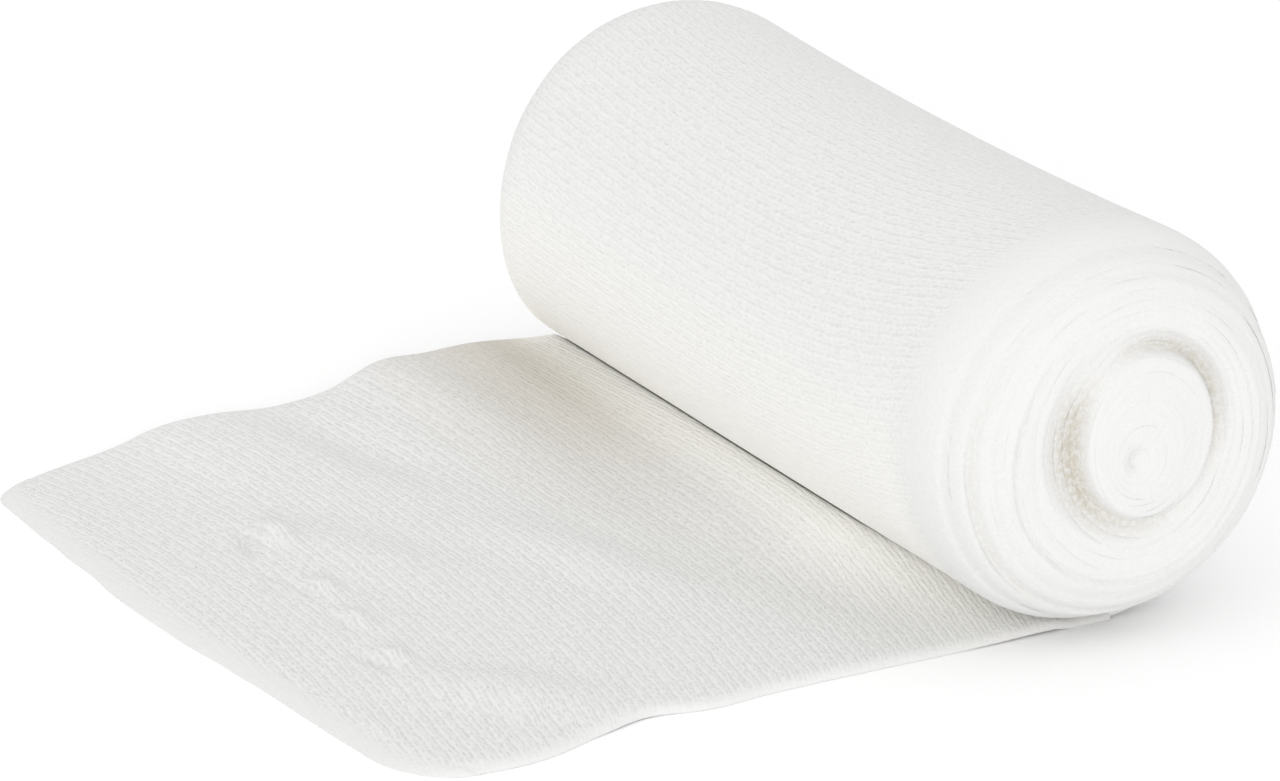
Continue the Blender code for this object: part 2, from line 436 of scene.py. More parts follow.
def hem_x(across):
    """The hem's place, a little short on the near side and rounded at both corners."""
    x = HEM_X + curve_at(HEM_SHORT, across)
    wave = noise.noise(Vector((across * HALF_WIDTH / HEM_WAVE_LENGTH, *HEM_WAVE_SEED)))
    x += HEM_WAVE * (1.0 + wave) * (1.0 - across ** 4)
    radius = FAR_CORNER_RADIUS if across > 0.0 else NEAR_CORNER_RADIUS
    inside = radius - HALF_WIDTH * (1.0 - abs(across))
    if inside > 0.0:
        x += radius - math.sqrt(max(radius ** 2 - inside ** 2, 0.0))
    return x


def folds_height(folds, x, y):
    """Height that a group of folds adds to the loose end."""
    total = 0.0
    for fold in folds:
        turn = math.radians(fold.turn_degrees)
        along = (y - fold.y) * math.cos(turn) - (x - fold.x) * math.sin(turn)
        aside = (x - fold.x) * math.cos(turn) + (y - fold.y) * math.sin(turn)
        total += fold.height * bump(along / fold.half_length) * bump(aside / fold.half_width)
    return total


def lift(x, across):
    """Height of the cloth's underside over the floor, in front of the roll and under it."""
    start = crease_x(across)
    if x > start:
        return under_roll_height(x)
    y = strip_y(x, across)
    inward = HALF_WIDTH * (1.0 - across)
    edge = curve_at(FAR_LIFT, x - RIDGE_DRIFT * inward)
    spread_out = edge * (1.0 - smooth(inward / FAR_LIFT_REACH)) + folds_height(FOLDS, x, y)
    away = smooth((start - x) / PEEL_RUN)
    return max(0.0, under_roll_height(start) * (1.0 - away) + spread_out * away)


def roll_inset(across):
    """How far the roll's side is drawn in by its waist and by the curl of its two edges."""
    waist = WAIST_DEPTH * (1.0 - across * across)
    into_far = (across * HALF_WIDTH - (HALF_WIDTH - FAR_CURL_RUN)) / FAR_CURL_RUN
    into_near = (-across * HALF_WIDTH - (HALF_WIDTH - NEAR_CURL_RUN)) / NEAR_CURL_RUN
    far_curl = FAR_CURL_DEPTH * (1.0 - math.sqrt(1.0 - max(into_far, 0.0) ** 2))
    return waist + far_curl + NEAR_CURL_DEPTH * max(into_near, 0.0) ** 2


def row_shift(along, across):
    """How far a rib runs ahead of its place in the middle of the strip."""
    lean = ROW_LEAN * smooth((along - LEAN_START) / LEAN_RUN)
    fade = 1.0 - smooth((along - HIDDEN_FROM) / BOW_FADE)
    return fade * (lean * across ** 3 - ROW_BOW * across * across)


def winding(turns):
    """Half width, half height and centre of the winding after a number of turns."""
    if turns <= 1.0:
        radius = ROLL_RADIUS - TURN_STEP * turns
        return radius, radius, 0.0, 0.0
    height = max(ROLL_RADIUS - TURN_STEP - TURN_PITCH * (turns - 1.0), EYE_RADIUS)
    narrow = smooth((turns - SQUEEZE_START) / SQUEEZE_RUN)
    to_eye = smooth((turns - EYE_DRIFT_START) / EYE_DRIFT_RUN)
    centre_x = CORE_SHIFT_X * narrow + (EYE_X - CORE_SHIFT_X) * to_eye
    centre_z = CORE_SHIFT_Z * narrow + (EYE_Z - CORE_SHIFT_Z) * to_eye
    return height * (1.0 - CORE_SQUEEZE * narrow), height, centre_x, centre_z


def groove_depth(x, z):
    """Depth of the groove round the core, at a place of the domed end."""
    rim = math.hypot(x, z - GROOVE_RIM_Z) / GROOVE_RIM_RADIUS
    if rim >= 1.0:
        return 0.0
    core = math.hypot(
        (x - GROOVE_CORE_X) / GROOVE_CORE_HALF_WIDTH, (z - GROOVE_CORE_Z) / GROOVE_CORE_HALF_HEIGHT,
    )
    wall = smooth((core - GROOVE_WALL_FROM) / GROOVE_WALL_RUN)
    room = 1.0 - rim
    slope = room / (room + GROOVE_OUTER_SLOPE * max(core - 1.0, 0.0) + GROOVE_RIM_SOFTNESS)
    degrees = math.degrees(math.atan2(x - GROOVE_CORE_X, GROOVE_CORE_Z - z)) % 360.0
    return curve_at(GROOVE_DEPTH, degrees) * wall * slope


def ring_depth(x, z):
    """How deep the turns lie in the rings of the domed end, and how much a place is on their side."""
    radius = math.hypot(x, z)
    angle = math.atan2(x, -z) % FULL_TURN
    side = RING_LEAST + (1.0 - RING_LEAST) * max(
        bump((angle - RING_MIDDLE) / RING_REACH), bump((angle + FULL_TURN - RING_MIDDLE) / RING_REACH),
    )
    rings = sum(ring.depth * bump((radius - ring.radius) / ring.half_width) for ring in RINGS)
    return side * rings, side


def dome_reach(x, z):
    """How far the domed end stands out past the strip's edge, at a place seen along the axis."""
    rings, _ = ring_depth(x, z)
    eye = EYE_DIP * bump(math.hypot(x - EYE_X, z - EYE_Z) / EYE_DIP_RADIUS)
    return curve_at(DOME, math.hypot(x, z)) - groove_depth(x, z) - rings - eye


class ClothShape:
    """Places of the strip's two faces, from the sizes in the panel."""

    def __init__(self, sizes):
        self.thick = sizes.thickness / MM
        self.hem_thick = sizes.hem_thickness / MM
        self.hem_width = sizes.hem_width / MM
        self.rib_pitch = sizes.rib_pitch / MM
        self.rib_height = sizes.rib_height / MM

    def laid_thickness(self, x, hem):
        """Cloth thickness on the loose end, softly thinner over the flattened hem."""
        inside_hem = smooth(HEM_STEP * (1.0 - (x - hem) / self.hem_width))
        return self.thick + (self.hem_thick - self.thick) * inside_hem

    def rib(self, along, across, face):
        """Height of the crepe's ribs, uneven along each rib."""
        phase = FULL_TURN * along / self.rib_pitch
        sideways = across * HALF_WIDTH / RIB_UNEVEN_LENGTH
        wave = noise.noise(Vector((along / self.rib_pitch, sideways, RIB_FACE_STEP * face)))
        uneven = RIB_MEAN + RIB_UNEVEN * wave
        return self.rib_height * uneven * math.cos(phase)

    def laid(self, along, column, face, ribbed):
        """A place on the loose end or under the roll. Face 0 is the underside, face 1 the top."""
        across = column.across
        x = HEM_X + along
        hem = hem_x(across)
        start = crease_x(across)
        y = strip_y(min(x, start), across)
        from_edge = HALF_WIDTH * (1.0 - abs(across))
        hem_taper = max(1.0 - max(x - hem, 0.0) / HEM_ROUND, 0.0) ** 2
        drawn_in = edge_trim(from_edge, EDGE_ROUND, 1.0)
        wave = noise.noise(Vector((x / EDGE_WAVE_LENGTH, LAID_WAVE_SIDES * across, LAID_WAVE_SEED)))
        y += LAID_WAVE_SHARE * EDGE_WAVE * wave * smooth(1.0 - from_edge / EDGE_WAVE_REACH)
        thick = self.laid_thickness(x, hem)
        under = lift(x, across) + UNDER_TRIM * drawn_in * thick
        top = lift(x, across) + thick - max(TOP_TRIM * drawn_in, HEM_TRIM * hem_taper) * thick
        if x < start:
            top += folds_height(TUFTS, x, y)
        shown = smooth(from_edge / RIB_EDGE_RUN + RIB_EDGE_SHARE)
        top += ribbed * (1.0 - max(drawn_in, hem_taper)) * shown
        if face == 0:
            z = under + (top - under) * column.crown
        else:
            z = top - (top - under) * column.crown
        return Vector((x, y, z))

    def outside(self, angle, across):
        """Place along X and Z of a turn's outside, from the roll's axis."""
        turns = angle / FULL_TURN
        half_width, half_height, centre_x, centre_z = winding(turns)
        turned = angle % FULL_TURN
        crease_angle = math.asin(-crease_x(across) / ROLL_RADIUS)
        from_floor = min(turned - FLAT_ANGLE, FULL_TURN - crease_angle - turned)
        fade = smooth(from_floor / SHAPE_FADE)
        fade += (1.0 - fade) * smooth((turns - 1.0) / SHAPE_FADE_TURNS)
        inset = roll_inset(across) * fade * min(half_height / (ROLL_RADIUS - TURN_STEP), 1.0)
        x = centre_x + max(half_width - inset, 0.0) * math.sin(angle)
        z = centre_z - max(half_height - inset, 0.0) * math.cos(angle)
        return Vector((x, z)), fade

    def wound(self, angle, column, face, ribbed):
        """A place on the roll. Face 0 is the outside of a turn, face 1 its inside."""
        across = column.across
        turns = angle / FULL_TURN
        outward = Vector((math.sin(angle), -math.cos(angle)))
        from_near = HALF_WIDTH * (1.0 + across)
        from_far = HALF_WIDTH * (1.0 - across)
        outer, fade = self.outside(angle, across)
        inner, _ = self.outside(angle + FULL_TURN, across)
        inner += outward * (TURN_GAP - (TURN_GAP + SEAM_PRESS) * smooth(1.0 - from_near))
        if (outer - inner).dot(outward) < LEAST_THICK:
            inner = outer - outward * LEAST_THICK
        share = column.crown if face == 0 else 1.0 - column.crown
        flat = outer + (inner - outer) * share
        seam = (1.0 - min(column.crown / SEAM_SHARE, 1.0)) ** 2
        if turns < 1.0:
            trim = edge_trim(from_near, OUTSIDE_EDGE_ROUND, OUTSIDE_TRIM)
            trim *= smooth((1.0 - turns) / OUTSIDE_TRIM_END)
            flat -= outward * trim * (1.0 - share)
        turn_wave = TURN_WAVE_STEP * math.floor(turns)
        uneven = noise.noise(Vector((*(flat / EDGE_WAVE_LENGTH), turn_wave)))
        seam *= SEAM_MEAN + SEAM_UNEVEN * uneven
        started = smooth((angle - FLAT_ANGLE) / RIM_START)
        closed = 1.0 - CORE_SEAM_FADE * smooth((turns - CORE_SEAM_START) / CORE_SEAM_RUN)
        near = dome_reach(*flat) * started - NEAR_SEAM * seam * closed
        far = curve_at(FAR_REACH, turns + share) - FAR_SEAM * seam
        if face == 0:
            flat += outward * ribbed
        else:
            flat -= outward * ribbed
        edge = HALF_WIDTH + curve_at(NEAR_SPREAD if across < 0.0 else FAR_SPREAD, crease_x(across))
        lie = math.copysign(1.0, across) * (edge - HALF_WIDTH) * abs(across) ** 3 * (1.0 - fade)
        y = across * HALF_WIDTH + lie + far * 0.5 * (1.0 + across) - near * 0.5 * (1.0 - across)
        near_wave = smooth(1.0 - from_near / EDGE_WAVE_REACH)
        far_wave = smooth(1.0 - from_far / EDGE_WAVE_REACH)
        y += EDGE_WAVE * uneven * (near_wave + far_wave)
        return Vector((flat.x, y, AXIS_HEIGHT + flat.y))

    def place(self, along, column, face, ribbed=0.0):
        """A place on either face, by distance from the hem along the strip."""
        if along <= ROLL_START:
            return self.laid(along, column, face, ribbed)
        angle = FLAT_ANGLE + (along - ROLL_START) / FIRST_RADIUS
        return self.wound(angle, column, face, ribbed)

    def painted_fold_light(self, along, across):
        """Share of painted light in the fold between the roll and the loose end, by how deep a place lies
        there, from 0 to 1.
        """
        if along <= ROLL_START:
            rim = smooth(HALF_WIDTH * (1.0 + across) / CREVICE_LAID_RIM)
            run = CREVICE_RUN + (CREVICE_NEAR_RUN - CREVICE_RUN) * smooth(-across)
            return rim * smooth(1.0 - (crease_x(across) - HEM_X - along) / run)
        angle = FLAT_ANGLE + (along - ROLL_START) / FIRST_RADIUS
        if angle < FULL_TURN:
            rim = smooth(HALF_WIDTH * (1.0 + across) / CREVICE_WOUND_RIM)
            return rim * smooth(1.0 - (FULL_TURN - angle - CREVICE_START) / CREVICE_ANGLE)
        return 0.0

    def trough(self, along, across):
        """How much a place of the loose end lies in the shade of the roll, from 0 to 1."""
        if along > ROLL_START:
            return 0.0
        far = TROUGH_LEAST + (1.0 - TROUGH_LEAST) * smooth(TROUGH_FROM + across)
        return far * smooth(1.0 - (crease_x(across) - HEM_X - along) / TROUGH_RUN)

    def groove(self, along, across, place):
        """How deep a place lies in the groove and the rings of the domed end, from 0 to 1."""
        if along <= END_FROM or across > END_ACROSS:
            return 0.0
        x, z = place.x, place.z - AXIS_HEIGHT
        rings, side = ring_depth(x, z)
        flank = side * bump((math.hypot(x, z) - FLANK_RADIUS) / FLANK_HALF_WIDTH)
        shade = (groove_depth(x, z) / FULL_GROOVE_DEPTH) ** GROOVE_SHADE_POWER
        return min(shade + RING_SHADE * rings + FLANK_SHADE * flank, 1.0)

    def rib_share(self, along, across):
        """How clearly the ribs show: fully on the loose end, less on the roll, not on its end."""
        if along <= ROLL_START:
            inside = along - (hem_x(across) - HEM_X)
            from_edge = HALF_WIDTH * (1.0 - abs(across))
            shown = smooth((inside - HEM_BAND) / HEM_BAND_FADE) * smooth(from_edge / EDGE_ROUND)
            return HEM_RIB_SHARE + (1.0 - HEM_RIB_SHARE) * shown
        if along > HIDDEN_FROM:
            return END_RIB_SHARE
        to_end = smooth((-across * HALF_WIDTH - ROLL_RIB_REACH) / ROLL_RIB_FADE)
        return ROLL_RIB_SHARE + (END_RIB_SHARE - ROLL_RIB_SHARE) * to_end


def columns(near_steps, far_steps, middle_spans):
    """Columns from the middle of the far rim to the middle of the near rim."""
    far = [1.0 - step / HALF_WIDTH for step in far_steps]
    near = [-1.0 + step / HALF_WIDTH for step in near_steps]
    low, high = near[-1], far[-1]
    middle = [high + (low - high) * i / middle_spans for i in range(1, middle_spans)]
    row = [Column(1.0, share) for share in RIM_SHARES]
    row += [Column(across, 0.0) for across in far + middle + near[::-1]]
    return row + [Column(-1.0, share) for share in RIM_SHARES[::-1]]


def order(column):
    """A number that grows along a row, for zipping rows with unlike columns."""
    return -math.copysign(abs(column.across) + column.crown, column.across)


class ClothMesh:
    """Vertices and faces of the strip's closed sheet."""

    def __init__(self, shape):
        self.shape = shape
        self.places = []
        self.flat = []
        self.painted_fold_light_shares = []
        self.troughs = []
        self.grooves = []
        self.rib_shares = []
        self.corners = set()
        self.faces = []

    def add(self, along, column, face, texture_along, ribbed=0.0):
        """Adds a vertex with its flat place and its shares, and gives its number."""
        place = self.shape.place(along, column, face, ribbed)
        over_rim = math.copysign(column.crown * self.shape.thick, column.across)
        self.places.append(place * MM)
        self.flat.append((texture_along * MM, (column.across * HALF_WIDTH + over_rim) * MM))
        self.painted_fold_light_shares.append(self.shape.painted_fold_light(along, column.across))
        self.troughs.append(self.shape.trough(along, column.across))
        self.grooves.append(self.shape.groove(along, column.across, place))
        self.rib_shares.append(self.shape.rib_share(along, column.across))
        on_corner = abs(column.across) == 1.0 and column.crown == 0.0
        pressed = END_FROM if face == 1 else HIDDEN_FROM
        if on_corner and along > pressed:
            self.corners.add(len(self.places) - 1)
        return len(self.places) - 1

    def add_face(self, corners):
        """Adds a face, unless its corners fall together."""
        kept = list(dict.fromkeys(corners))
        if len(kept) > 2:
            self.faces.append(kept)

    def zip_chains(self, first, second):
        """Fills the strip between two chains of (place, vertex) that start and end together."""
        i, j = 0, 0
        while i < len(first) - 1 or j < len(second) - 1:
            next_i = first[i + 1][0] if i < len(first) - 1 else math.inf
            next_j = second[j + 1][0] if j < len(second) - 1 else math.inf
            if abs(next_i - next_j) < 1e-6:
                self.add_face((first[i][1], first[i + 1][1], second[j + 1][1], second[j][1]))
                i, j = i + 1, j + 1
            elif next_i < next_j:
                self.add_face((first[i][1], first[i + 1][1], second[j][1]))
                i += 1
            else:
                self.add_face((first[i][1], second[j + 1][1], second[j][1]))
                j += 1

    def replace_row(self, current, row):
        """Adds the faces between the last row and a new one, which may be short of both edges."""
        changed = [old if new is None else new for old, new in zip(current, row)]
        for i in range(len(current) - 1):
            corners = (current[i], current[i + 1], changed[i + 1], changed[i])
            if len(set(corners)) > 2:
                self.add_face(corners)
        return changed


def row_places(sizes, face, last):
    """Places along the strip of one face's rows: close where it shows, one to a rib where hidden."""
    pitch = sizes.rib_pitch / MM
    fine = pitch / sizes.rows_per_rib
    rows = []
    index = 0
    while index * fine < last:
        along = index * fine
        shows = along > BOTH_FACES_FROM if face == 0 else along < BOTH_FACES_TO
        if shows or index % sizes.rows_per_rib == 0:
            rows.append(along)
        index += 1
    return rows


def build_cloth(sizes):
    """The whole strip as one closed sheet, and its length along the turns' outer face."""
    shape = ClothShape(sizes)
    mesh = ClothMesh(shape)
    fine = columns(EDGE_STEPS, EDGE_STEPS, MIDDLE_SPANS)
    coarse = columns(HIDDEN_NEAR_STEPS, HIDDEN_FAR_STEPS, 1)
    ends, rims = [], []
    for face in (0, 1):
        near_rim, far_rim = [], []
        hem_at = [hem_x(column.across) - HEM_X for column in fine]
        band = []
        for step in HEM_STEPS:
            band.append([
                mesh.add(hem + step, column, face, hem + step - row_shift(hem, column.across))
                for hem, column in zip(hem_at, fine)
            ])
        for first, second in zip(band, band[1:]):
            mesh.replace_row(first, second)
        for step, row in zip(HEM_STEPS, band):
            far_rim.append((step, row[0]))
            near_rim.append((step, row[-1]))
        current = band[-1]
        for along in row_places(sizes, face, HIDDEN_FROM):
            row = []
            for hem, column in zip(hem_at, fine):
                at = along + row_shift(along, column.across)
                inside = at - hem - HEM_STEPS[-1]
                if inside < LEAST_ROW_GAP:
                    row.append(None)
                    continue
                ribbed = shape.rib(along, column.across, face) * smooth(inside / RIB_START_RUN)
                ribbed *= shape.rib_share(at, column.across)
                row.append(mesh.add(at, column, face, along, ribbed))
            current = mesh.replace_row(current, row)
            if row[0] is not None:
                far_rim.append((HEM_STEPS[-1] + along, row[0]))
            if row[-1] is not None:
                near_rim.append((HEM_STEPS[-1] + along, row[-1]))
        previous = list(zip(map(order, fine), current))
        angle = FLAT_ANGLE + (HIDDEN_FROM - ROLL_START) / FIRST_RADIUS
        texture_along = HIDDEN_FROM
        while angle < WINDING_END * FULL_TURN:
            half_width, half_height, _, _ = winding(angle / FULL_TURN)
            along = ROLL_START + (angle - FLAT_ANGLE) * FIRST_RADIUS
            vertices = [
                mesh.add(along + row_shift(along, column.across), column, face, texture_along)
                for column in coarse
            ]
            row = list(zip(map(order, coarse), vertices))
            mesh.zip_chains(previous, row)
            far_rim.append((HEM_STEPS[-1] + along, vertices[0]))
            near_rim.append((HEM_STEPS[-1] + along, vertices[-1]))
            previous = row
            spans = TURN_SPANS if half_height > CORE_RADIUS else CORE_SPANS
            angle += FULL_TURN / spans
            texture_along += 0.5 * (half_width + half_height) * FULL_TURN / spans
        ends.append([vertex for _, vertex in previous])
        rims.append((far_rim, near_rim))
        if face == 0:
            hem_row = band[0]
        else:
            mesh.replace_row(hem_row, band[0])
    mesh.replace_row(ends[0], ends[1])
    for side in (0, 1):
        mesh.zip_chains(rims[0][side], rims[1][side])
    return mesh, texture_along


def cloth_object(name, mesh):
    """A mesh object of the strip, facing outwards, with its flat map and the shares where its material
    paints light and shade and shows ribs.
    """
    data = bpy.data.meshes.new(name)
    data.from_pydata(mesh.places, [], mesh.faces)
    flat_map = data.uv_layers.new(name="flat_cloth")
    corners = [0] * len(data.loops)
    data.loops.foreach_get("vertex_index", corners)
    flat_map.data.foreach_set("uv", [value for corner in corners for value in mesh.flat[corner]])
    # The shares mark painted light in the fold before the roll, painted shade from the roll on the loose
    # end and in the end's groove, and how clearly the ribs show
    shares = {
        "painted_fold_light": mesh.painted_fold_light_shares, "trough": mesh.troughs, "groove": mesh.grooves,
        "rib_share": mesh.rib_shares,
    }
    for label, values in shares.items():
        attribute = data.attributes.new(label, "FLOAT", "POINT")
        attribute.data.foreach_set("value", values)
    shell = bmesh.new()
    shell.from_mesh(data)
    for face in shell.faces:
        face.smooth = True
    bmesh.ops.triangulate(shell, faces=[face for face in shell.faces if len(face.verts) > 4])
    bmesh.ops.recalc_face_normals(shell, faces=shell.faces)
    for edge in shell.edges:
        edge.smooth = not all(vertex.index in mesh.corners for vertex in edge.verts)
    shell.to_mesh(data)
    shell.free()
    cloth = bpy.data.objects.new(name, data)
    bpy.context.scene.collection.objects.link(cloth)
    return cloth


def add_node(tree, kind, settings=None, inputs=None, links=None):
    """Adds a node with its settings, its input values and its links from other sockets."""
    node = tree.nodes.new(kind)
    for name, value in (settings or {}).items():
        setattr(node, name, value)
    for socket, value in (inputs or {}).items():
        node.inputs[socket].default_value = value
    for socket, source in (links or {}).items():
        tree.links.new(source, node.inputs[socket])
    return node


def woven_cotton_crepe(sizes):
    """Woven cotton crepe, undyed: crinkled ribs of twisted yarn, matt and fuzzy.

    The eye sees short soft dashes along each rib and a valley between two ribs painted slightly darker as
    shade.
    Painted light makes the deep fold under the roll bright and warm, and painted shade darkens the roll's
    shade on the loose end and the groove of the end.
    """
    material = bpy.data.materials.new("woven_cotton_crepe")
    material.use_nodes = True
    tree = material.node_tree
    tree.nodes.clear()
    flat_map = add_node(tree, "ShaderNodeUVMap", {"uv_map": "flat_cloth"})
    in_mm = add_node(
        tree, "ShaderNodeVectorMath", {"operation": "SCALE"}, {"Scale": 1.0 / MM},
        {0: flat_map.outputs["UV"]},
    )
    parts = add_node(tree, "ShaderNodeSeparateXYZ", links={0: in_mm.outputs[0]})

    # Each rib is a pair of yarns, so a wave for the rib in step with the mesh and one for its yarns
    wander = add_node(
        tree, "ShaderNodeTexNoise", {"noise_dimensions": "2D"},
        {"Scale": WANDER_PER_MM, "Detail": 1.0, "Roughness": 0.5}, {"Vector": in_mm.outputs[0]},
    )
    wobble = add_node(
        tree, "ShaderNodeMath", {"operation": "MULTIPLY"}, {1: WANDER_TURN}, {0: wander.outputs[0]},
    )
    rib_turn = add_node(
        tree, "ShaderNodeMath", {"operation": "MULTIPLY_ADD"},
        {1: FULL_TURN * MM / sizes.rib_pitch}, {0: parts.outputs["X"], 2: wobble.outputs[0]},
    )
    rib_wave = add_node(tree, "ShaderNodeMath", {"operation": "COSINE"}, links={0: rib_turn.outputs[0]})
    yarn_turn = add_node(
        tree, "ShaderNodeMath", {"operation": "MULTIPLY_ADD"}, {1: 2.0, 2: YARN_LAG},
        {0: rib_turn.outputs[0]},
    )
    yarn_wave = add_node(tree, "ShaderNodeMath", {"operation": "COSINE"}, links={0: yarn_turn.outputs[0]})

    # Dashes about 1 mm long, as the twisted yarns rise and dip along the rib
    rib_dash = add_node(
        tree, "ShaderNodeMapping", inputs={"Scale": RIB_DASHES_PER_MM},
        links={"Vector": in_mm.outputs[0]},
    )
    yarn_dash = add_node(
        tree, "ShaderNodeMapping", inputs={"Location": YARN_DASH_SHIFT, "Scale": YARN_DASHES_PER_MM},
        links={"Vector": in_mm.outputs[0]},
    )
    waves = []
    for wave, place in ((rib_wave, rib_dash), (yarn_wave, yarn_dash)):
        dashes = add_node(
            tree, "ShaderNodeTexNoise", {"noise_dimensions": "2D"},
            {"Scale": 1.0, "Detail": 1.5, "Roughness": 0.55}, {"Vector": place.outputs[0]},
        )
        share = add_node(
            tree, "ShaderNodeMapRange", {"interpolation_type": "SMOOTHSTEP"},
            {"From Min": 0.36, "From Max": 0.66, "To Min": 0.05, "To Max": 1.0},
            {"Value": dashes.outputs[0]},
        )
        waves.append(add_node(
            tree, "ShaderNodeMath", {"operation": "MULTIPLY"},
            links={0: wave.outputs[0], 1: share.outputs[0]},
        ))
    rib_and_yarn = add_node(
        tree, "ShaderNodeMath", {"operation": "MULTIPLY_ADD"}, {1: YARN_SHARE},
        {0: waves[1].outputs[0], 2: waves[0].outputs[0]},
    )
    rib_share = add_node(tree, "ShaderNodeAttribute", {"attribute_name": "rib_share"})
    rib_height = add_node(
        tree, "ShaderNodeMath", {"operation": "MULTIPLY"},
        links={0: rib_and_yarn.outputs[0], 1: rib_share.outputs["Fac"]},
    )
    rib_scaled = add_node(
        tree, "ShaderNodeMath", {"operation": "MULTIPLY"}, {1: sizes.bump_height / MM},
        {0: rib_height.outputs[0]},
    )

    # Crinkled yarn and fluff, about 0.5 mm across
    own_place = add_node(tree, "ShaderNodeTexCoord")
    fluff = add_node(
        tree, "ShaderNodeTexNoise", {"noise_dimensions": "3D"},
        {"Scale": FLUFF_PER_MM / MM, "Detail": 3.0, "Roughness": 0.6},
        {"Vector": own_place.outputs["Object"]},
    )
    fluff_scaled = add_node(
        tree, "ShaderNodeMath", {"operation": "MULTIPLY_ADD"}, {1: sizes.fluff_height / MM},
        {0: fluff.outputs[0], 2: rib_scaled.outputs[0]},
    )
    relief = add_node(
        tree, "ShaderNodeBump", inputs={"Strength": 1.0, "Distance": MM},
        links={"Height": fluff_scaled.outputs[0]},
    )

    # Painted shade: valleys between ribs are painted a little darker; painted light makes the deep fold
    # warm and bright, and painted shade follows for the roll's shade and the end's groove
    valley = add_node(
        tree, "ShaderNodeMapRange", {"interpolation_type": "SMOOTHSTEP"},
        {"From Min": -1.05, "From Max": 0.55, "To Min": 0.0, "To Max": 1.0},
        {"Value": rib_height.outputs[0]},
    )
    yarn = add_node(
        tree, "ShaderNodeMix", {"data_type": "RGBA"},
        {"A": (*sizes.painted_valley_shade_colour, 1.0), "B": (*sizes.colour, 1.0)},
        {"Factor": valley.outputs[0]},
    )
    ribbed = add_node(
        tree, "ShaderNodeMix", {"data_type": "RGBA"}, {"A": (*sizes.plain_colour, 1.0)},
        {"Factor": rib_share.outputs["Fac"], "B": yarn.outputs["Result"]},
    )
    # Painted shade: the roll's shade on the loose end, deepest on the far side, is painted in grey tan
    trough = add_node(tree, "ShaderNodeAttribute", {"attribute_name": "trough"})
    shaded = add_node(
        tree, "ShaderNodeMix", {"data_type": "RGBA"}, {"B": (*sizes.painted_roll_shade_colour, 1.0)},
        {"Factor": trough.outputs["Fac"], "A": ribbed.outputs["Result"]},
    )
    # Painted light: the deep fold before the roll and the roll's lower side are painted bright and warm
    painted_fold_light = add_node(tree, "ShaderNodeAttribute", {"attribute_name": "painted_fold_light"})
    fold_lit = add_node(
        tree, "ShaderNodeMix", {"data_type": "RGBA"}, {"B": (*sizes.painted_fold_light_colour, 1.0)},
        {"Factor": painted_fold_light.outputs["Fac"], "A": shaded.outputs["Result"]},
    )
    # Painted shade: the groove, rings and flank of the domed end are painted darker, speckled by the
    # fluff
    groove = add_node(tree, "ShaderNodeAttribute", {"attribute_name": "groove"})
    speckle = add_node(
        tree, "ShaderNodeMapRange", {"interpolation_type": "SMOOTHSTEP"},
        {"From Min": 0.38, "From Max": 0.6, "To Min": 0.45, "To Max": 1.3},
        {"Value": fluff.outputs[0]},
    )
    painted_groove_shade_share = add_node(
        tree, "ShaderNodeMath", {"operation": "MULTIPLY", "use_clamp": True},
        links={0: groove.outputs["Fac"], 1: speckle.outputs[0]},
    )
    groove_shaded = add_node(
        tree, "ShaderNodeMix", {"data_type": "RGBA"}, {"B": (*sizes.painted_groove_shade_colour, 1.0)},
        {"Factor": painted_groove_shade_share.outputs[0], "A": fold_lit.outputs["Result"]},
    )
    shader = add_node(
        tree, "ShaderNodeBsdfPrincipled",
        inputs={"Roughness": 0.95, "IOR": 1.5, "Specular IOR Level": 0.25, "Sheen Weight": 0.12,
                "Sheen Roughness": 0.5},
        links={"Base Color": groove_shaded.outputs["Result"], "Normal": relief.outputs[0]},
    )
    add_node(tree, "ShaderNodeOutputMaterial", links={"Surface": shader.outputs[0]})
    return material


def matt_studio_card(colour):
    """White card, matt: an even pale ground without grain."""
    material = bpy.data.materials.new("matt_white_card")
    material.use_nodes = True
    shader = material.node_tree.nodes["Principled BSDF"]
    shader.inputs["Base Color"].default_value = (*colour, 1.0)
    shader.inputs["Roughness"].default_value = 0.9
    shader.inputs["Specular IOR Level"].default_value = 0.2
    return material


